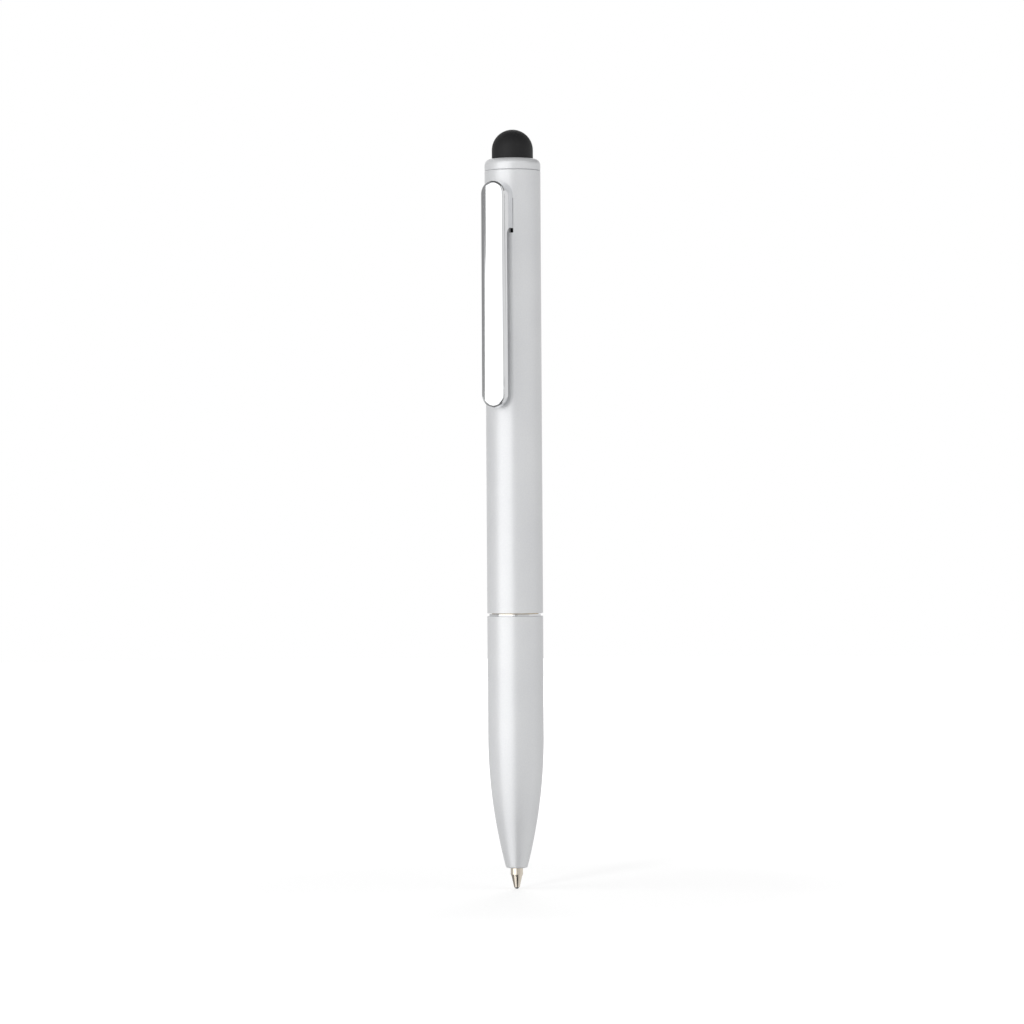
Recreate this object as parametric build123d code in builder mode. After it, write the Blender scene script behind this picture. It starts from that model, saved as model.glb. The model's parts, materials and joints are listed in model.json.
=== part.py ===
from build123d import *
from math import cos, pi, sin, sqrt
import os

os.makedirs("parts", exist_ok=True)

# Stack along the axis, from the lowest point of the writing ball upwards
tip_exposure = 3.9
lower_barrel_length = 46.45
ring_height = 0.4
twist_gap = 0.1
upper_barrel_length = 81.5
cap_seam = 0.05
cap_height = 2.17
dome_height = 5.43

# Barrels
barrel_diameter = 10.3
barrel_wall = 0.7
barrel_edge = 0.08
ring_recess = 0.38
taper_length = 24.5
nose_diameter = 3.92
nose_edge = 0.4
nose_land = 4.6
thread_wall = 1.1
thread_length = 8.0
thread_relief = 0.4
refill_bore_diameter = 6.4

# Clearances, all on the radius or on one face
fixed_fit = 0.03
running_fit = 0.05
loose_fit = 0.15
free_space = 0.3

# Pocket clip, cast in one piece
clip_length = 41.5
clip_width = 4.96
clip_top_width = 4.84
clip_drop = 2.25
clip_height = 3.19
clip_thickness = 1.42
clip_crown = 13.0
clip_edge = 0.6
collar_length = 8.6
collar_fillet = 1.4
prong_thickness = 0.6
prong_length = 5.4
prong_depth = 0.5
toe_height = 1.4
slot_tail = 0.8

# Stylus end
dome_diameter = 7.6
dome_wall = 0.9
dome_flange_height = 0.9
cap_shoulder = 1.2
cap_lip = 1.4
spigot_length = 2.9
spigot_wall = 0.33
plug_depth = 14.4
boss_rise = 0.8

# Writing end of the refill, as diameters and heights above the ball's lowest point
ball_diameter = 1.0
ball_fit = 0.015
lip_diameter = 1.04
lip_height = 0.3
crimp_diameter = 1.29
crimp_height = 0.83
cone_diameter = 1.96
cone_height = 2.3
tip_diameter = 2.3
tip_shoulder_height = 2.7
feed_diameter = 0.4
feed_length = 1.4
tail_length = 4.0
tail_wall = 0.35

# Refill tube
tube_diameter = 3.0
tube_wall = 0.5
tube_lift = 2.2
stop_width = 3.9
stop_thickness = 1.0
stop_height = 1.2
ink_length = 62.0
grease_length = 3.0

# Return spring, at its length with the tip out
spring_wire = 0.35
spring_length = 15.4
spring_turns = 9

# Twist mechanism
twist_angle = 180.0
refill_travel = 5.0
pin_diameter = 1.2
pin_margin = 2.2
pin_edge = 0.12
cam_wall = 1.3
cam_slot_height = 1.6
guide_wall = 0.6
guide_seat_depth = 6.8
bearing_wall = 0.5
bearing_length = 5.0
flange_height = 0.6
neck_end = 0.6
groove_depth = 0.35
groove_height = 0.6
snap_ring_gap = 60.0
snap_ring_rise = 0.4
socket_depth = 3.5
plunger_floor = 1.5

# Levels that follow from the stack
nose_z = tip_exposure
lower_top_z = nose_z + lower_barrel_length
ring_top_z = lower_top_z + ring_height
upper_bottom_z = ring_top_z + twist_gap
upper_top_z = upper_bottom_z + upper_barrel_length
cap_bottom_z = upper_top_z + cap_seam
cap_top_z = cap_bottom_z + cap_height
dome_top_z = cap_top_z + dome_height

# Radii from the barrel inwards
barrel_r = barrel_diameter / 2
bore_r = barrel_r - barrel_wall
cam_outer_r = bore_r - fixed_fit
cam_inner_r = cam_outer_r - cam_wall
cam_middle_r = (cam_outer_r + cam_inner_r) / 2
guide_outer_r = cam_inner_r - running_fit
guide_inner_r = guide_outer_r - guide_wall
plunger_r = guide_inner_r - running_fit
bearing_outer_r = bore_r - fixed_fit
bearing_inner_r = bearing_outer_r - bearing_wall
neck_r = bearing_inner_r - running_fit
groove_r = neck_r - groove_depth
guide_seat_r = guide_outer_r + fixed_fit
thread_bore_r = barrel_r - thread_wall
thread_r = thread_bore_r - fixed_fit
flange_r = bore_r - loose_fit
tube_r = tube_diameter / 2
tube_inner_r = tube_r - tube_wall
tip_r = tip_diameter / 2
tip_hole_r = tip_r + running_fit
ball_r = ball_diameter / 2
pin_r = pin_diameter / 2
spring_r = tube_r + loose_fit + spring_wire / 2
spring_bore_r = spring_r + spring_wire / 2 + loose_fit
refill_bore_r = refill_bore_diameter / 2

# Levels of the inner pieces
spring_seat_z = nose_z + nose_land
stop_z = spring_seat_z + spring_length
spring_bore_top_z = stop_z + stop_height + refill_travel
tube_bottom_z = spring_seat_z + tube_lift
tail_top_z = tube_bottom_z + tail_length
thread_bottom_z = lower_top_z - thread_length
guide_bottom_z = lower_top_z - guide_seat_depth
flange_top_z = ring_top_z + flange_height
bearing_bottom_z = flange_top_z + running_fit
bearing_top_z = bearing_bottom_z + bearing_length
snap_groove_z = bearing_top_z + running_fit
snap_groove_top_z = snap_groove_z + groove_height
neck_top_z = snap_groove_top_z + neck_end
friction_groove_z = (bearing_bottom_z + bearing_top_z - groove_height) / 2
plug_bottom_z = upper_top_z - plug_depth
cam_top_z = plug_bottom_z - free_space
pin_in_z = cam_top_z - pin_margin
pin_out_z = pin_in_z - refill_travel
cam_bottom_z = pin_out_z - pin_margin
plunger_top_z = pin_out_z + plunger_floor
refill_top_z = pin_out_z - plunger_floor
plunger_bottom_z = refill_top_z - socket_depth
ink_top_z = tail_top_z + ink_length
clip_top_z = upper_top_z - clip_drop
clip_bottom_z = clip_top_z - clip_length
collar_bottom_z = clip_top_z - collar_length

# Lower barrel, turned with a long curved nose and a stepped bore
with BuildPart() as lower_barrel:
    with BuildSketch(Plane.XZ) as barrel_side:
        with BuildLine():
            taper = TangentArc(
                (barrel_r, nose_z + taper_length),
                (nose_diameter / 2, nose_z),
                tangent=(0, -1),
            )
            Polyline(
                taper @ 1,
                (tip_hole_r, nose_z),
                (tip_hole_r, spring_seat_z),
                (spring_bore_r, spring_seat_z),
                (spring_bore_r, spring_bore_top_z),
                (refill_bore_r, spring_bore_top_z),
                (refill_bore_r, thread_bottom_z - thread_relief),
                (thread_bore_r, thread_bottom_z - thread_relief),
                (thread_bore_r, lower_top_z),
                (barrel_r, lower_top_z),
                taper @ 0,
            )
        make_face()
        fillet(barrel_side.vertices().group_by(Axis.Y)[0].sort_by(Axis.X)[-1], nose_edge)
        chamfer(barrel_side.vertices().group_by(Axis.Y)[-1].sort_by(Axis.X)[-1], barrel_edge)
    revolve(axis=Axis.Z)
lower_barrel.part.label = "lower_barrel"
export_step(lower_barrel.part, "parts/lower_barrel.step")

# Upper barrel, a tube with one narrow slot for each prong of the clip
prong_x = clip_top_width / 2 - prong_thickness / 2
slot_width = prong_thickness + 2 * running_fit
slot_bottom_z = collar_bottom_z - slot_tail
slot_top_z = collar_bottom_z + prong_length + loose_fit
with BuildPart() as upper_barrel:
    with BuildSketch(Plane.XY.offset(upper_bottom_z)):
        Circle(barrel_r)
        Circle(bore_r, mode=Mode.SUBTRACT)
    extrude(amount=upper_barrel_length)
    rims = upper_barrel.edges().filter_by(GeomType.CIRCLE)
    chamfer(rims.group_by(SortBy.RADIUS)[-1], barrel_edge)
    with BuildSketch(Plane.XZ):
        with Locations((-prong_x, slot_bottom_z), (prong_x, slot_bottom_z)):
            Rectangle(
                slot_width,
                slot_top_z - slot_bottom_z,
                align=(Align.CENTER, Align.MIN),
            )
    extrude(amount=barrel_diameter, mode=Mode.SUBTRACT)
upper_barrel.part.label = "upper_barrel"
export_step(upper_barrel.part, "parts/upper_barrel.step")

# Bright ring, clamped between the lower barrel and the flange of the bushing
ring_r = barrel_r - ring_recess
with BuildPart() as centre_ring:
    with BuildSketch(Plane.XY.offset(lower_top_z)):
        Circle(ring_r)
        Circle(thread_bore_r, mode=Mode.SUBTRACT)
    extrude(amount=ring_height)
    rims = centre_ring.edges().filter_by(GeomType.CIRCLE)
    chamfer(rims.group_by(SortBy.RADIUS)[-1], barrel_edge / 2)
centre_ring.part.label = "centre_ring"
export_step(centre_ring.part, "parts/centre_ring.step")

# Threaded bushing, which joins the lower barrel to the mechanism and carries the neck
with BuildPart() as threaded_bushing:
    with BuildSketch(Plane.XZ):
        with BuildLine():
            Polyline(
                (guide_inner_r, thread_bottom_z),
                (thread_r, thread_bottom_z),
                (thread_r, ring_top_z),
                (flange_r, ring_top_z),
                (flange_r, flange_top_z),
                (neck_r, flange_top_z),
                (neck_r, friction_groove_z),
                (groove_r, friction_groove_z),
                (groove_r, friction_groove_z + groove_height),
                (neck_r, friction_groove_z + groove_height),
                (neck_r, snap_groove_z),
                (groove_r, snap_groove_z),
                (groove_r, snap_groove_top_z),
                (neck_r, snap_groove_top_z),
                (neck_r, neck_top_z),
                (guide_seat_r, neck_top_z),
                (guide_seat_r, guide_bottom_z),
                (guide_inner_r, guide_bottom_z),
                close=True,
            )
        make_face()
    revolve(axis=Axis.Z)
    chamfer(threaded_bushing.edges().group_by(Axis.Z)[0].sort_by(SortBy.RADIUS)[-1], loose_fit)
threaded_bushing.part.label = "threaded_bushing"
export_step(threaded_bushing.part, "parts/threaded_bushing.step")

# Bearing bush, pressed into the mouth of the upper barrel and turning on the neck
with BuildPart() as bearing_bush:
    with BuildSketch(Plane.XY.offset(bearing_bottom_z)):
        Circle(bearing_outer_r)
        Circle(bearing_inner_r, mode=Mode.SUBTRACT)
    extrude(amount=bearing_length)
    rims = bearing_bush.edges().filter_by(GeomType.CIRCLE)
    chamfer(rims.group_by(SortBy.RADIUS)[-1], pin_edge)
bearing_bush.part.label = "bearing_bush"
export_step(bearing_bush.part, "parts/bearing_bush.step")

# Square-cut rubber friction ring in the groove of the neck
with BuildPart() as friction_ring:
    with BuildSketch(Plane.XZ):
        with Locations((groove_r + fixed_fit, friction_groove_z + running_fit)):
            Rectangle(
                bearing_inner_r - groove_r - 2 * fixed_fit,
                groove_height - 2 * running_fit,
                align=(Align.MIN, Align.MIN),
            )
    revolve(axis=Axis.Z)
friction_ring.part.label = "friction_ring"
export_step(friction_ring.part, "parts/friction_ring.step")

# Open snap ring that keeps the two halves together
with BuildPart() as snap_ring:
    with BuildSketch(Plane.XZ):
        with Locations((groove_r + running_fit, snap_groove_z + running_fit)):
            Rectangle(
                groove_depth + snap_ring_rise - running_fit,
                groove_height - 2 * running_fit,
                align=(Align.MIN, Align.MIN),
            )
    revolve(axis=Axis.Z, revolution_arc=360 - snap_ring_gap)
snap_ring.part.label = "snap_ring"
export_step(snap_ring.part, "parts/snap_ring.step")

# Guide tube, fixed in the bushing, with a straight slot on each side for the cross pin
guide_slot_width = pin_diameter + 2 * running_fit
guide_slot_bottom_z = pin_out_z - pin_r - loose_fit
guide_slot_top_z = pin_in_z + pin_r + loose_fit
with BuildPart() as guide_tube:
    with BuildSketch(Plane.XY.offset(guide_bottom_z)):
        Circle(guide_outer_r)
        Circle(guide_inner_r, mode=Mode.SUBTRACT)
    extrude(amount=cam_top_z - guide_bottom_z)
    with BuildSketch(Plane.YZ):
        with Locations((0, (guide_slot_bottom_z + guide_slot_top_z) / 2)):
            SlotOverall(guide_slot_top_z - guide_slot_bottom_z, guide_slot_width, rotation=90)
    extrude(amount=barrel_r, both=True, mode=Mode.SUBTRACT)
guide_tube.part.label = "guide_tube"
export_step(guide_tube.part, "parts/guide_tube.step")

# One helical slot of the cam, with rounded ends
cam_lead = refill_travel * 360 / twist_angle
cam_cut = cam_wall + 2 * free_space
with BuildPart() as cam_slot:
    with BuildLine():
        cam_path = Helix(cam_lead, refill_travel, cam_middle_r, center=(0, 0, pin_out_z), lefthand=True)
    with BuildSketch(Plane(origin=cam_path @ 0, x_dir=(1, 0, 0), z_dir=(0, -1, 0))):
        Rectangle(cam_cut, cam_slot_height)
    sweep(path=cam_path, is_frenet=True)
    with Locations(cam_path @ 0):
        Cylinder(cam_slot_height / 2, cam_cut, rotation=(0, 90, 0))
    with Locations(cam_path @ 1):
        Cylinder(cam_slot_height / 2, cam_cut, rotation=(0, 90, twist_angle))

# Cam sleeve, pressed into the upper barrel, with two helical slots half a turn apart
with BuildPart() as cam_sleeve:
    with BuildSketch(Plane.XY.offset(cam_bottom_z)):
        Circle(cam_outer_r)
        Circle(cam_inner_r, mode=Mode.SUBTRACT)
    extrude(amount=cam_top_z - cam_bottom_z)
    add(cam_slot.part, mode=Mode.SUBTRACT)
    add(cam_slot.part, rotation=(0, 0, 180), mode=Mode.SUBTRACT)
cam_sleeve.part.label = "cam_sleeve"
export_step(cam_sleeve.part, "parts/cam_sleeve.step")

# Plunger, with a socket for the end of the refill and a cross hole for the pin
with BuildPart() as plunger:
    with BuildSketch(Plane.XY.offset(plunger_bottom_z)):
        Circle(plunger_r)
    extrude(amount=plunger_top_z - plunger_bottom_z)
    with BuildSketch(Plane.XY.offset(plunger_bottom_z)):
        Circle(tube_r + running_fit)
    extrude(amount=socket_depth, mode=Mode.SUBTRACT)
    with BuildSketch(Plane.YZ):
        with Locations((0, pin_out_z)):
            Circle(pin_r + fixed_fit)
    extrude(amount=barrel_r, both=True, mode=Mode.SUBTRACT)
    chamfer(plunger.edges().group_by(Axis.Z)[-1], loose_fit)
plunger.part.label = "plunger"
export_step(plunger.part, "parts/plunger.step")

# Cross pin through plunger, guide slots and cam slots
with BuildPart() as cross_pin:
    with BuildSketch(Plane.YZ):
        with Locations((0, pin_out_z)):
            Circle(pin_r)
    extrude(amount=cam_outer_r - loose_fit, both=True)
    chamfer(cross_pin.edges().filter_by(GeomType.CIRCLE), pin_edge)
cross_pin.part.label = "cross_pin"
export_step(cross_pin.part, "parts/cross_pin.step")

# Refill tube, with two pinched ears that stop the spring
with BuildPart() as refill_tube:
    with BuildSketch(Plane.XY.offset(tube_bottom_z)):
        Circle(tube_r)
    extrude(amount=refill_top_z - tube_bottom_z)
    with BuildSketch(Plane.XY.offset(stop_z)):
        Rectangle(stop_width, stop_thickness)
    extrude(amount=stop_height)
    with BuildSketch(Plane.XY.offset(tube_bottom_z)):
        Circle(tube_inner_r)
    extrude(amount=refill_top_z - tube_bottom_z, mode=Mode.SUBTRACT)
refill_tube.part.label = "refill_tube"
export_step(refill_tube.part, "parts/refill_tube.step")

# Ink column and the grease plug that follows it down the tube
fill_r = tube_inner_r - fixed_fit
with BuildPart() as ink_column:
    with BuildSketch(Plane.XY.offset(tail_top_z)):
        Circle(fill_r)
    extrude(amount=ink_length)
ink_column.part.label = "ink_column"
export_step(ink_column.part, "parts/ink_column.step")

with BuildPart() as grease_plug:
    with BuildSketch(Plane.XY.offset(ink_top_z)):
        Circle(fill_r)
    extrude(amount=grease_length)
grease_plug.part.label = "grease_plug"
export_step(grease_plug.part, "parts/grease_plug.step")

# Refill tip, with a crimped lip round the ball, a feed hole and an ink bore
tail_r = tube_inner_r - fixed_fit
ink_bore_r = tail_r - tail_wall
feed_top_z = ball_diameter + feed_length
with BuildPart() as refill_tip:
    with BuildSketch(Plane.XZ):
        with BuildLine():
            Polyline(
                (0, lip_height),
                (lip_diameter / 2, lip_height),
                (crimp_diameter / 2, crimp_height),
                (cone_diameter / 2, cone_height),
                (tip_r, tip_shoulder_height),
                (tip_r, tube_bottom_z),
                (tail_r, tube_bottom_z),
                (tail_r, tail_top_z),
                (ink_bore_r, tail_top_z),
                (ink_bore_r, feed_top_z),
                (0, feed_top_z),
                close=True,
            )
        make_face()
    revolve(axis=Axis.Z)
    with BuildSketch(Plane.XY.offset(ball_r)):
        Circle(feed_diameter / 2)
    extrude(amount=feed_top_z, mode=Mode.SUBTRACT)
    with Locations((0, 0, ball_r)):
        Sphere(ball_r + ball_fit, mode=Mode.SUBTRACT)
refill_tip.part.label = "refill_tip"
export_step(refill_tip.part, "parts/refill_tip.step")

# Writing ball
with BuildPart() as writing_ball:
    with Locations((0, 0, ball_r)):
        Sphere(ball_r)
writing_ball.part.label = "writing_ball"
export_step(writing_ball.part, "parts/writing_ball.step")

# Return spring, one unbroken wire with eight flats, laid in quarter turns of two arcs each
spring_bottom_z = spring_seat_z + spring_wire / 2 + running_fit
spring_rise = spring_length - spring_wire - 2 * running_fit
spring_pitch = spring_rise / spring_turns
turn_steps = 4


def coil_point(step):
    angle = 2 * pi * step / turn_steps
    height = spring_bottom_z + spring_pitch * step / turn_steps
    return Vector(spring_r * cos(angle), spring_r * sin(angle), height)


def coil_tangent(step):
    angle = 2 * pi * step / turn_steps
    sideways = 2 * pi * spring_r
    return Vector(-sideways * sin(angle), sideways * cos(angle), spring_pitch).normalized()


with BuildPart() as return_spring:
    with BuildLine() as coil:
        for step in range(spring_turns * turn_steps):
            start = coil_point(step)
            end = coil_point(step + 1)
            leave = coil_tangent(step)
            arrive = coil_tangent(step + 1)
            chord = end - start
            along = chord.dot(leave + arrive)
            turn = 2 * (1 - leave.dot(arrive))
            reach = (sqrt(along**2 + turn * chord.dot(chord)) - along) / turn
            joint = (start + end + (leave - arrive) * reach) * (1 / 2)
            TangentArc(start, joint, tangent=leave)
            TangentArc(joint, end, tangent=end - arrive * reach - start - leave * reach)
    with BuildSketch(Plane(origin=coil_point(0), z_dir=coil_tangent(0))):
        RegularPolygon(spring_wire / 2, 2 * turn_steps)
    sweep(path=coil.wires()[0])
return_spring.part.label = "return_spring"
export_step(return_spring.part, "parts/return_spring.step")
turn_points = [coil_point(step / 4) for step in range(spring_turns * turn_steps * 4 + 1)]
spring_gap = min(
    (second - first).length
    for number, first in enumerate(turn_points)
    for second in turn_points[number + 2 * turn_steps :]
)
print(f"return_spring: least gap between turns {spring_gap - spring_wire:.2f} mm")

# End cap, a rounded collar that holds the rubber dome by its flange
spigot_r = bore_r - fixed_fit
counterbore_r = spigot_r - spigot_wall
dome_r = dome_diameter / 2
cap_lip_z = cap_top_z - cap_lip
spigot_bottom_z = cap_bottom_z - spigot_length
with BuildPart() as end_cap:
    with BuildSketch(Plane.XZ):
        with BuildLine():
            Polyline(
                (counterbore_r, spigot_bottom_z),
                (spigot_r, spigot_bottom_z),
                (spigot_r, cap_bottom_z),
                (barrel_r, cap_bottom_z),
                (barrel_r, cap_top_z),
                (dome_r + fixed_fit, cap_top_z),
                (dome_r + fixed_fit, cap_lip_z),
                (counterbore_r, cap_lip_z),
                close=True,
            )
        make_face()
    revolve(axis=Axis.Z)
    rims = end_cap.edges().filter_by(GeomType.CIRCLE).group_by(SortBy.RADIUS)[-1].sort_by(Axis.Z)
    fillet(rims[-1], cap_shoulder)
    rims = end_cap.edges().filter_by(GeomType.CIRCLE).group_by(SortBy.RADIUS)[-1].sort_by(Axis.Z)
    chamfer(rims[0], barrel_edge)
end_cap.part.label = "end_cap"
export_step(end_cap.part, "parts/end_cap.step")

# Stylus tip, a hollow rubber dome with a flange at its foot
dome_centre_z = dome_top_z - dome_r
dome_inner_r = dome_r - dome_wall
flange_bottom_z = cap_lip_z - dome_flange_height
with BuildPart() as stylus_tip:
    with BuildSketch(Plane.XY.offset(flange_bottom_z)):
        Circle(counterbore_r - fixed_fit)
    extrude(amount=dome_flange_height)
    with BuildSketch(Plane.XY.offset(cap_lip_z)):
        Circle(dome_r)
    extrude(amount=dome_centre_z - cap_lip_z)
    with Locations((0, 0, dome_centre_z)):
        Sphere(dome_r)
        Sphere(dome_inner_r, mode=Mode.SUBTRACT)
    with BuildSketch(Plane.XY.offset(flange_bottom_z)):
        Circle(dome_inner_r)
    extrude(amount=dome_centre_z - flange_bottom_z, mode=Mode.SUBTRACT)
stylus_tip.part.label = "stylus_tip"
export_step(stylus_tip.part, "parts/stylus_tip.step")

# Clip, a casting: a long crowned blade whose upper end comes down to the barrel as a collar with two prongs
seat_r = barrel_r + fixed_fit
front_y = -(barrel_r + clip_height)
back_y = front_y + clip_thickness
shoulder_y = -(barrel_r + free_space)
slot_edge_x = prong_x + slot_width / 2
prong_y = -(sqrt(bore_r**2 - slot_edge_x**2) - free_space - prong_depth)
with BuildPart() as clip:
    with BuildSketch(Plane.XZ):
        with Locations((0, clip_top_z - clip_top_width / 2)):
            Circle(clip_top_width / 2)
        with Locations((0, clip_bottom_z + clip_width / 2)):
            Circle(clip_width / 2)
        make_hull()
    extrude(amount=barrel_diameter)
    with BuildSketch(Plane.XY.offset(clip_bottom_z)):
        with Locations((0, front_y + clip_crown)):
            Circle(clip_crown)
    extrude(amount=clip_length, mode=Mode.INTERSECT)
    fillet(clip.faces().sort_by(Axis.Y)[0].edges(), clip_edge)
    with BuildSketch(Plane.YZ) as under_blade:
        with BuildLine():
            Polyline(
                (back_y, collar_bottom_z),
                (back_y, clip_bottom_z),
                (0, clip_bottom_z),
                (0, collar_bottom_z),
                close=True,
            )
        make_face()
        fillet(under_blade.vertices().group_by(Axis.Y)[-1].sort_by(Axis.X)[0], collar_fillet)
    extrude(amount=clip_width, both=True, mode=Mode.SUBTRACT)
    with Locations((0, 0, (clip_top_z + collar_bottom_z) / 2)):
        Cylinder(seat_r, 2 * clip_length, mode=Mode.SUBTRACT)
    for side in (-1, 1):
        with BuildSketch(Plane.YZ.offset(side * prong_x)):
            with BuildLine():
                Polyline(
                    (shoulder_y, collar_bottom_z),
                    (prong_y, collar_bottom_z),
                    (prong_y, collar_bottom_z + prong_length + toe_height),
                    (prong_y - prong_depth, collar_bottom_z + prong_length + toe_height),
                    (prong_y - prong_depth, collar_bottom_z + prong_length),
                    (shoulder_y, collar_bottom_z + prong_length),
                    close=True,
                )
            make_face()
        extrude(amount=prong_thickness / 2, both=True)
clip.part.label = "clip"
export_step(clip.part, "parts/clip.step")

# End plug, which closes the barrel, backs the clip's prongs and carries the dome
plug_body_top_z = spigot_bottom_z - loose_fit
plug_flat_y = prong_y + free_space
with BuildPart() as end_plug:
    with BuildSketch(Plane.XY.offset(plug_bottom_z)):
        Circle(bore_r - fixed_fit)
    extrude(amount=plug_body_top_z - plug_bottom_z)
    with BuildSketch(Plane.XY.offset(plug_body_top_z)):
        Circle(counterbore_r - fixed_fit)
    extrude(amount=flange_bottom_z - plug_body_top_z)
    with BuildSketch(Plane.XY.offset(flange_bottom_z)):
        Circle(dome_inner_r - fixed_fit)
    extrude(amount=cap_top_z + boss_rise - flange_bottom_z)
    with BuildSketch(Plane.XY.offset(plug_bottom_z)):
        with Locations((0, plug_flat_y)):
            Rectangle(barrel_diameter, barrel_diameter, align=(Align.CENTER, Align.MAX))
    extrude(amount=plug_body_top_z - plug_bottom_z - free_space, mode=Mode.SUBTRACT)
    chamfer(end_plug.edges().group_by(Axis.Z)[-1], free_space)
end_plug.part.label = "end_plug"
export_step(end_plug.part, "parts/end_plug.step")
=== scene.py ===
import json
from math import cos, pi, radians, sin

import bmesh
import bpy
from mathutils import Matrix, Vector

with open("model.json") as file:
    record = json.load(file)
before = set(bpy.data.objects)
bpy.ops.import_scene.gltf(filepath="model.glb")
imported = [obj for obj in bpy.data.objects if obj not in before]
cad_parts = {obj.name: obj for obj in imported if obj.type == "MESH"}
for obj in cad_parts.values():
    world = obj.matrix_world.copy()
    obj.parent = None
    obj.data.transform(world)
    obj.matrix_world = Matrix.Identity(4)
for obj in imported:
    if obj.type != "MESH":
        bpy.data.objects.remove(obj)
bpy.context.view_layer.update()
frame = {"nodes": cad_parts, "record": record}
MM = 0.001

# A Mix node has sockets for every kind of value: these are its factor, its two colours and their blend
FACTOR = 0
DARK = 6
LIGHT = 7
BLEND = 2

# At a scale of 1 a wave texture repeats after about this length
WAVE_SPACING = 0.314


def colour(hex_value):
    """An sRGB hex value as the linear colour that a shader socket takes, by the sRGB formula."""
    parts = [int(hex_value[i : i + 2], 16) / 255 for i in (1, 3, 5)]
    return [p / 12.92 if p <= 0.04045 else ((p + 0.055) / 1.055) ** 2.4 for p in parts] + [1.0]


def add(tree, kind, inputs=None, **settings):
    """Adds one node with its settings, and sets or links each of its inputs."""
    node = tree.nodes.new("ShaderNode" + kind)
    for name, value in settings.items():
        setattr(node, name, value)
    for socket, value in (inputs or {}).items():
        if isinstance(value, bpy.types.NodeSocket):
            tree.links.new(value, node.inputs[socket])
        else:
            node.inputs[socket].default_value = value
    return node


def new_material(name):
    """A new material with an empty node tree, and the coordinates of the piece in metres."""
    material = bpy.data.materials.new(name)
    material.use_nodes = True
    tree = material.node_tree
    tree.nodes.clear()
    return material, tree, add(tree, "TexCoord").outputs["Object"]


# Materials

def blasted_aluminium():
    # Aluminium, blasted with fine beads and anodised silver: a soft, even grey with a faint cold tint,
    # a broad highlight and a very fine grain. The blasted skin scatters most of the light, so it is only
    # partly metallic. The real grain of about 0.05 mm is drawn at 0.25 mm to show.
    grain_size = 0.25 * MM
    cloud_size = 9 * MM
    grain_depth = 0.01 * MM
    material, tree, place = new_material("blasted_aluminium")
    grain = add(tree, "TexNoise", {"Vector": place, "Scale": 1 / grain_size, "Detail": 2.0}).outputs["Fac"]
    cloud = add(tree, "TexNoise", {"Vector": place, "Scale": 1 / cloud_size, "Detail": 1.0}).outputs["Fac"]
    both = add(tree, "Math", {0: grain, 1: cloud}, operation="ADD").outputs["Value"]
    share = add(tree, "MapRange", {"Value": both, "From Min": 0.6, "From Max": 1.4}).outputs["Result"]
    tones = {FACTOR: share, DARK: colour("#DCDDDF"), LIGHT: colour("#E4E5E6")}
    tone = add(tree, "Mix", tones, data_type="RGBA").outputs[BLEND]
    rough = add(tree, "MapRange", {"Value": grain, "To Min": 0.32, "To Max": 0.4}).outputs["Result"]
    bump = add(tree, "Bump", {"Height": grain, "Strength": 0.12, "Distance": grain_depth}).outputs["Normal"]
    metal = add(tree, "BsdfPrincipled", {
        "Base Color": tone, "Metallic": 0.35, "Roughness": rough, "Normal": bump,
    }).outputs["BSDF"]
    add(tree, "OutputMaterial", {"Surface": metal})
    return material


def polished_chrome():
    # Chrome plate on a polished casting: a clear mirror with a cold tint, and hair lines from the
    # buffing wheel along the piece that only break the edges of a reflection. The real lines of a few
    # hundredths of a millimetre are drawn 0.3 mm wide to show.
    line_width = 0.3 * MM
    line_stretch = (1.0, 1.0, 0.03)
    line_depth = 0.01 * MM
    cloud_size = 5 * MM
    material, tree, place = new_material("polished_chrome")
    along = add(tree, "Mapping", {"Vector": place, "Scale": line_stretch}).outputs["Vector"]
    lines = add(tree, "TexNoise", {"Vector": along, "Scale": 1 / line_width, "Detail": 3.0}).outputs["Fac"]
    cloud = add(tree, "TexNoise", {"Vector": place, "Scale": 1 / cloud_size, "Detail": 1.0}).outputs["Fac"]
    tones = {FACTOR: cloud, DARK: colour("#E6E7E9"), LIGHT: colour("#EFF0F1")}
    tone = add(tree, "Mix", tones, data_type="RGBA").outputs[BLEND]
    rough = add(tree, "MapRange", {"Value": lines, "To Min": 0.04, "To Max": 0.10}).outputs["Result"]
    bump = add(tree, "Bump", {"Height": lines, "Strength": 0.03, "Distance": line_depth}).outputs["Normal"]
    metal = add(tree, "BsdfPrincipled", {
        "Base Color": tone, "Metallic": 1.0, "Roughness": rough, "Normal": bump,
    }).outputs["BSDF"]
    add(tree, "OutputMaterial", {"Surface": metal})
    return material


def black_silicone():
    # Conductive silicone rubber, moulded matt: near black, a dull broad sheen and a velvety grain,
    # drawn at 0.3 mm to show.
    grain_size = 0.3 * MM
    grain_depth = 0.02 * MM
    material, tree, place = new_material("black_silicone")
    grain = add(tree, "TexNoise", {"Vector": place, "Scale": 1 / grain_size, "Detail": 3.0}).outputs["Fac"]
    tones = {FACTOR: grain, DARK: colour("#0D0D0E"), LIGHT: colour("#202021")}
    tone = add(tree, "Mix", tones, data_type="RGBA").outputs[BLEND]
    rough = add(tree, "MapRange", {"Value": grain, "To Min": 0.5, "To Max": 0.68}).outputs["Result"]
    bump = add(tree, "Bump", {"Height": grain, "Strength": 0.2, "Distance": grain_depth}).outputs["Normal"]
    rubber = add(tree, "BsdfPrincipled", {
        "Base Color": tone, "Roughness": rough, "Normal": bump, "IOR": 1.41,
        "Sheen Weight": 0.05, "Sheen Roughness": 0.4,
    }).outputs["BSDF"]
    add(tree, "OutputMaterial", {"Surface": rubber})
    return material


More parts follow.
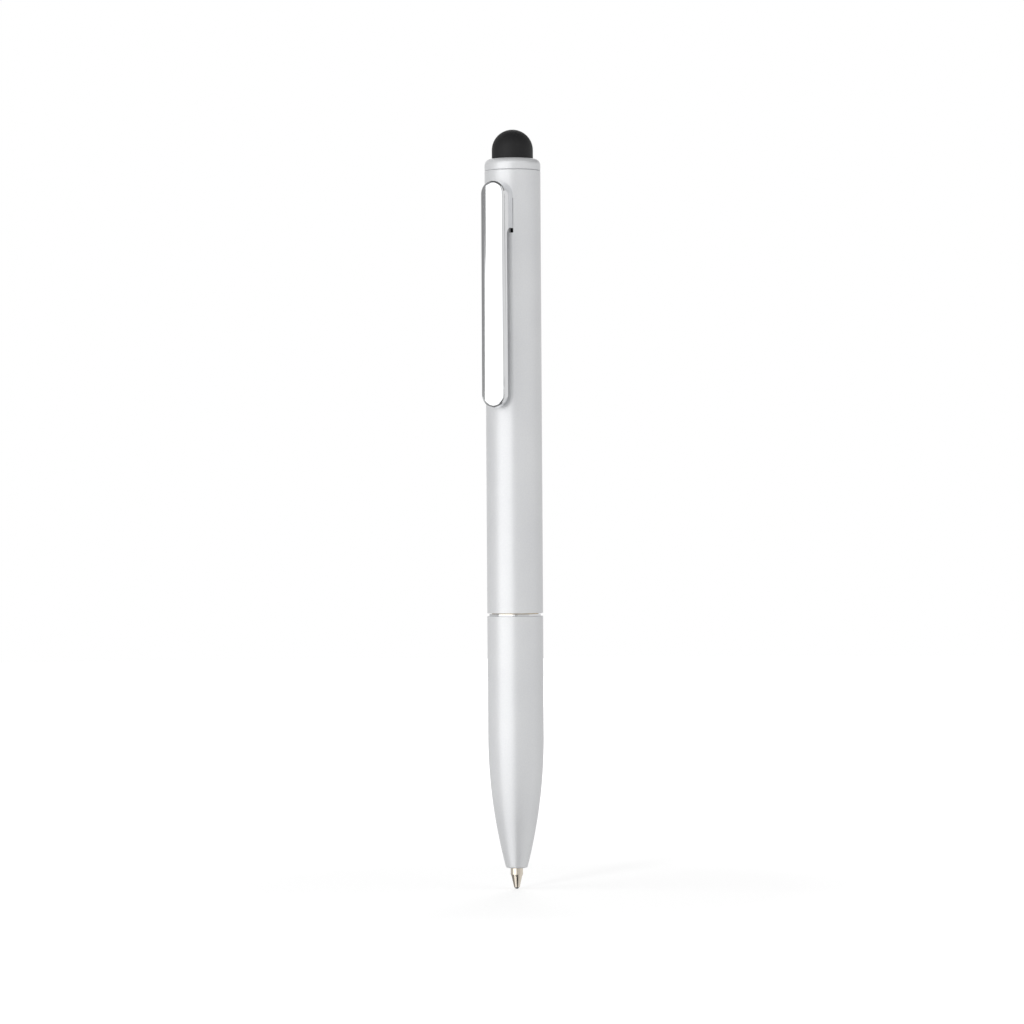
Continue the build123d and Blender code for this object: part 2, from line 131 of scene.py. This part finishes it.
def ringed_metal(name, dark, light, roughness, pitch):
    # Metal that was turned, ground or drawn: a bright body with faint rings round it, as a tool leaves them.
    # Real ones are a few hundredths of a millimetre apart; these have the given pitch in millimetres to show.
    material, tree, place = new_material(name)
    rings = add(tree, "TexWave", {
        "Vector": place, "Scale": WAVE_SPACING / (pitch * MM), "Distortion": 1.5, "Detail": 2.0,
    }, bands_direction="Z").outputs["Fac"]
    tones = {FACTOR: rings, DARK: colour(dark), LIGHT: colour(light)}
    tone = add(tree, "Mix", tones, data_type="RGBA").outputs[BLEND]
    low, high = roughness
    rough = add(tree, "MapRange", {"Value": rings, "To Min": low, "To Max": high}).outputs["Result"]
    metal = add(tree, "BsdfPrincipled", {
        "Base Color": tone, "Metallic": 1.0, "Roughness": rough,
    }).outputs["BSDF"]
    add(tree, "OutputMaterial", {"Surface": metal})
    return material


def clouded_filling(name, dark, light, roughness, ior, clear=0.0):
    # A moulded or liquid filling: an even body colour with slow clouds and a slightly uneven gloss.
    cloud_size = 1.5 * MM
    material, tree, place = new_material(name)
    cloud = add(tree, "TexNoise", {"Vector": place, "Scale": 1 / cloud_size, "Detail": 3.0}).outputs["Fac"]
    tones = {FACTOR: cloud, DARK: colour(dark), LIGHT: colour(light)}
    tone = add(tree, "Mix", tones, data_type="RGBA").outputs[BLEND]
    low, high = roughness
    rough = add(tree, "MapRange", {"Value": cloud, "To Min": low, "To Max": high}).outputs["Result"]
    body = add(tree, "BsdfPrincipled", {
        "Base Color": tone, "Roughness": rough, "IOR": ior, "Transmission Weight": clear,
    }).outputs["BSDF"]
    add(tree, "OutputMaterial", {"Surface": body})
    return material


# Each finish has the name of the record's material slot that it is for
finishes = {
    "satin_aluminium": blasted_aluminium(),
    "polished_chrome": polished_chrome(),
    "black_silicone": black_silicone(),
    # Nickel silver, turned bright: a mirror with a faint warm tint
    "nickel_silver": ringed_metal(
        "turned_nickel_silver", "#D8CEBF", "#E8DFD2", roughness=(0.1, 0.16), pitch=0.2),
    # Carbide, ground: a glossy middle grey
    "carbide": ringed_metal(
        "ground_carbide", "#85868A", "#96979B", roughness=(0.1, 0.16), pitch=0.3),
    # Spring steel, drawn to wire: a half dull grey
    "spring_steel": ringed_metal(
        "drawn_spring_steel", "#9C9DA0", "#B4B5B8", roughness=(0.2, 0.35), pitch=0.3),
    # Brass, turned and left bare: a half dull yellow
    "turned_brass": ringed_metal(
        "turned_brass", "#C9A65A", "#D9BB74", roughness=(0.2, 0.35), pitch=0.3),
    # Acetal, moulded: a milky white, or black, with a soft gloss
    "natural_acetal": clouded_filling(
        "natural_acetal", "#E4E2D9", "#EFEDE5", roughness=(0.35, 0.5), ior=1.48),
    "black_acetal": clouded_filling(
        "black_acetal", "#161616", "#202020", roughness=(0.35, 0.5), ior=1.48),
    # Nitrile rubber, moulded: a dull black
    "nitrile": clouded_filling(
        "nitrile_rubber", "#141414", "#1C1C1C", roughness=(0.55, 0.7), ior=1.52),
    # Polypropylene, drawn to a tube: nearly clear, a little milky
    "clear_polypropylene": clouded_filling(
        "clear_polypropylene", "#E6E9E6", "#F2F4F2", roughness=(0.15, 0.3), ior=1.49, clear=0.7),
    # Ink and grease, poured: a wet deep blue and a wet pale yellow
    "blue_ink": clouded_filling(
        "blue_ink", "#0B1450", "#12206E", roughness=(0.1, 0.2), ior=1.4),
    "pale_grease": clouded_filling(
        "pale_grease", "#DCD3B4", "#E8E0C6", roughness=(0.15, 0.3), ior=1.46),
}
for part in frame["record"]["subparts"]:
    slots = frame["nodes"][part["node"]].data.materials
    slots.clear()
    slots.append(finishes[part["material_slot"]])


# Camera and studio: lengths in metres, the lens in millimetres; the azimuth goes from -Y towards +X

camera_azimuth = radians(28)
camera_distance = 0.763
camera_shift = 0.48 * MM
camera_level = radians(90)
camera_roll = radians(-0.36)
eye_height = 0.0695
focal_length = 145.45
sensor_width = 36

# The flats stand in a ring round the pen, and some a step further out
flat_distance = 0.95
outer_step = 0.03
ceiling_height = 1.2
pit_height = -1.1

# The end of the nose and the writing tip face down a little, and mirror what is below this height
nose_line = -0.3


def around(degrees, distance, height):
    """A point that far from the pen, at an angle to the right of the camera."""
    angle = camera_azimuth + radians(degrees)
    return Vector((sin(angle) * distance, -cos(angle) * distance, height))


def stage_piece(name, mesh, material):
    """A piece of the studio, which isn't part of the pen."""
    data = bpy.data.meshes.new(name)
    mesh.to_mesh(data)
    mesh.free()
    data.materials.append(material)
    piece = bpy.data.objects.new(name, data)
    bpy.context.scene.collection.objects.link(piece)
    return piece


def seen(tree):
    """1 where a camera, mirror or glass ray looks, and 0 for the rays that light the pen."""
    path = add(tree, "LightPath").outputs
    camera_ray = path["Is Camera Ray"]
    mirror_ray = path["Is Glossy Ray"]
    glass_ray = path["Is Transmission Ray"]
    either = add(tree, "Math", {0: camera_ray, 1: mirror_ray}, operation="MAXIMUM").outputs["Value"]
    return add(tree, "Math", {0: either, 1: glass_ray}, operation="MAXIMUM").outputs["Value"]


def floor():
    # A white sheet: it keeps the pen's shadow near the tip and fades to plain white further out.
    radius = 1.2
    edge_count = 96
    fade_start = 0.05
    fade_end = 0.4
    glow_at_tip = 0.45
    mesh = bmesh.new()
    bmesh.ops.create_circle(mesh, cap_ends=True, segments=edge_count, radius=radius)
    material, tree, place = new_material("white_sheet")
    matt_white = add(tree, "BsdfDiffuse", {"Color": colour("#DEDEDE")}).outputs["BSDF"]
    reach = add(tree, "VectorMath", {0: place}, operation="LENGTH").outputs["Value"]
    fade = add(tree, "MapRange", {
        "Value": reach, "From Min": fade_start, "From Max": fade_end, "To Min": glow_at_tip, "To Max": 1.0,
    }).outputs["Result"]
    lift = add(tree, "Math", {0: seen(tree), 1: fade}, operation="MULTIPLY").outputs["Value"]
    glow = add(tree, "Emission", {"Strength": lift}).outputs["Emission"]
    both = add(tree, "AddShader", {0: matt_white, 1: glow}).outputs["Shader"]
    add(tree, "OutputMaterial", {"Surface": both})
    material.cycles.emission_sampling = "NONE"
    stage_piece("floor", mesh, material).visible_glossy = False


def mirrored_only(name, mesh, level, foot_level, bottom, top):
    """A card that only metal mirrors: it lights and shades nothing.

    Its brightness goes from foot_level at its bottom to level at its top.
    """
    material, tree, place = new_material(name)
    height = add(tree, "SeparateXYZ", {"Vector": place}).outputs["Z"]
    strength = add(tree, "MapRange", {
        "Value": height, "From Min": bottom, "From Max": top, "To Min": foot_level, "To Max": level,
    }).outputs["Result"]
    glow = add(tree, "Emission", {"Strength": strength}).outputs["Emission"]
    add(tree, "OutputMaterial", {"Surface": glow})
    material.cycles.emission_sampling = "NONE"
    piece = stage_piece(name, mesh, material)
    piece.visible_camera = False
    piece.visible_diffuse = False
    piece.visible_shadow = False


def flat(name, first, last, bottom, top, level, foot_level=None, lean=0, behind=0):
    """A curved studio flat from one angle to another, right of the camera; its top may lean to the right."""
    degrees_per_face = 4
    fewest_faces = 4
    distance = flat_distance + behind
    mesh = bmesh.new()
    low = mesh.verts.new(around(first, distance, bottom))
    high = mesh.verts.new(around(first + lean, distance, top))
    edge = mesh.edges.new((low, high))
    face_count = max(fewest_faces, round((last - first) / degrees_per_face))
    bmesh.ops.spin(mesh, geom=[low, high, edge], cent=(0, 0, 0), axis=(0, 0, 1),
                   angle=radians(last - first), steps=face_count)
    if foot_level is None:
        foot_level = level
    mirrored_only(name, mesh, level, foot_level, bottom, top)


def lid(name, height, level):
    """A flat overhead or underneath, mirrored only by surfaces that face up or down."""
    edge_count = 48
    mesh = bmesh.new()
    bmesh.ops.create_circle(mesh, cap_ends=True, segments=edge_count, radius=flat_distance)
    bmesh.ops.translate(mesh, verts=mesh.verts[:], vec=(0, 0, height))
    mirrored_only(name, mesh, level, foot_level=level, bottom=height - 1, top=height)


def softbox(name, degrees, distance, height, width, tall, radiance):
    """A lamp that no camera or mirror sees; its power follows from the brightness of its face."""
    lamp = bpy.data.lights.new(name, "AREA")
    lamp.shape = "RECTANGLE"
    lamp.size = width
    lamp.size_y = tall
    lamp.energy = radiance * pi * width * tall
    piece = bpy.data.objects.new(name, lamp)
    place = around(degrees, distance, height)
    aim = Vector((0, 0, eye_height)) - place
    piece.matrix_world = Matrix.Translation(place) @ aim.to_track_quat("-Z", "Y").to_matrix().to_4x4()
    piece.visible_camera = False
    piece.visible_glossy = False
    bpy.context.scene.collection.objects.link(piece)


floor()
softbox("key_lamp", degrees=-24.5, distance=0.9, height=0.16, width=0.13, tall=0.3, radiance=23.5)
softbox("left_softbox", degrees=-70, distance=0.8, height=0.25, width=0.8, tall=0.9, radiance=1.2)
softbox("right_softbox", degrees=66, distance=0.8, height=0.3, width=1.0, tall=0.9, radiance=0.57)
softbox("back_softbox", degrees=176, distance=0.9, height=0.3, width=0.4, tall=0.9, radiance=2.4)

# Left of the camera: a white softbox, and a flag that widens the dark line at the top of the clip's edge
flat("left_softbox_top", first=-70, last=-11, bottom=0.108, top=ceiling_height, level=1.4, lean=22)
flat("left_top_flag", first=-84, last=-66, bottom=0.173, top=ceiling_height, level=0.3, behind=-0.01)
flat("left_softbox_foot", first=-78, last=-12, bottom=-0.01, top=0.108, level=1.8)
flat("left_softbox_sill", first=-70, last=-12, bottom=-0.12, top=-0.01, level=1.8)
flat("left_softbox_skirt", first=-70, last=-12, bottom=nose_line, top=-0.12, level=1.8, foot_level=1.0)
flat("left_softbox_hem", first=-68, last=-11, bottom=pit_height, top=nose_line, level=1.0, foot_level=1.6)

# Left and behind: grey and dark, so that the metal's edges stand out from the white round it
flat("left_back_flag", first=-178, last=-50, bottom=0.045, top=ceiling_height, level=0.3, behind=outer_step)
flat("left_back_flat", first=-178, last=-64, bottom=-0.2, top=0.045, level=0.6, behind=outer_step)
flat("left_back_shade", first=-178, last=-64, bottom=pit_height, top=-0.2, level=0.3, behind=outer_step)
flat("left_back_edge", first=-178, last=-138, bottom=pit_height, top=ceiling_height, level=0.6, behind=0.02)
flat("back_softbox_front", first=166, last=190, bottom=pit_height, top=ceiling_height, level=1.3)

# Beside the camera: a grey strip, and below it a dark one that the writing tip mirrors
flat("camera_strip", first=-2, last=11, bottom=nose_line, top=ceiling_height, level=0.5)
flat("camera_shade", first=-10, last=28, bottom=pit_height, top=nose_line, level=0.04)

# Right of the camera: grey, a little brighter where the upper barrel beside the clip mirrors it
flat("right_flat_top", first=11, last=65, bottom=0.12, top=ceiling_height, level=0.77, behind=outer_step)
flat("right_flat", first=11, last=65, bottom=nose_line, top=0.12, level=0.65, behind=outer_step)
flat("right_shade", first=11, last=65, bottom=pit_height, top=nose_line, level=0.55, behind=outer_step)
flat("right_back_flat", first=65, last=178, bottom=pit_height, top=0.45, level=0.8, behind=outer_step)
flat("right_back_flag", first=65, last=178, bottom=0.45, top=ceiling_height, level=0.25, behind=outer_step)
lid("ceiling", height=ceiling_height, level=0.12)
lid("pit", height=pit_height, level=0.2)

# World: plain white where it is seen, and a softer fill where it lights the pen
fill_strength = 0.47
world = bpy.data.worlds.new("studio")
bpy.context.scene.world = world
world.use_nodes = True
tree = world.node_tree
tree.nodes.clear()
plain_white = colour("#FFFFFF")
fill = add(tree, "Background", {"Color": plain_white, "Strength": fill_strength}).outputs["Background"]
white = add(tree, "Background", {"Color": plain_white, "Strength": 1.0}).outputs["Background"]
sky = add(tree, "MixShader", {0: seen(tree), 1: fill, 2: white}).outputs["Shader"]
add(tree, "OutputWorld", {"Surface": sky})

# Camera: level with the middle of the pen, turned a little so that the pen leans as it does in the photograph
lens = bpy.data.cameras.new("camera")
lens.lens = focal_length
lens.sensor_width = sensor_width
camera = bpy.data.objects.new("camera", lens)
to_the_right = Vector((cos(camera_azimuth), sin(camera_azimuth), 0))
camera_place = around(0, camera_distance, eye_height) - to_the_right * camera_shift
camera.matrix_world = (
    Matrix.Translation(camera_place)
    @ Matrix.Rotation(camera_azimuth, 4, "Z")
    @ Matrix.Rotation(camera_level, 4, "X")
    @ Matrix.Rotation(camera_roll, 4, "Z")
)
bpy.context.scene.collection.objects.link(camera)
bpy.context.scene.camera = camera
bpy.context.scene.view_settings.view_transform = "Standard"
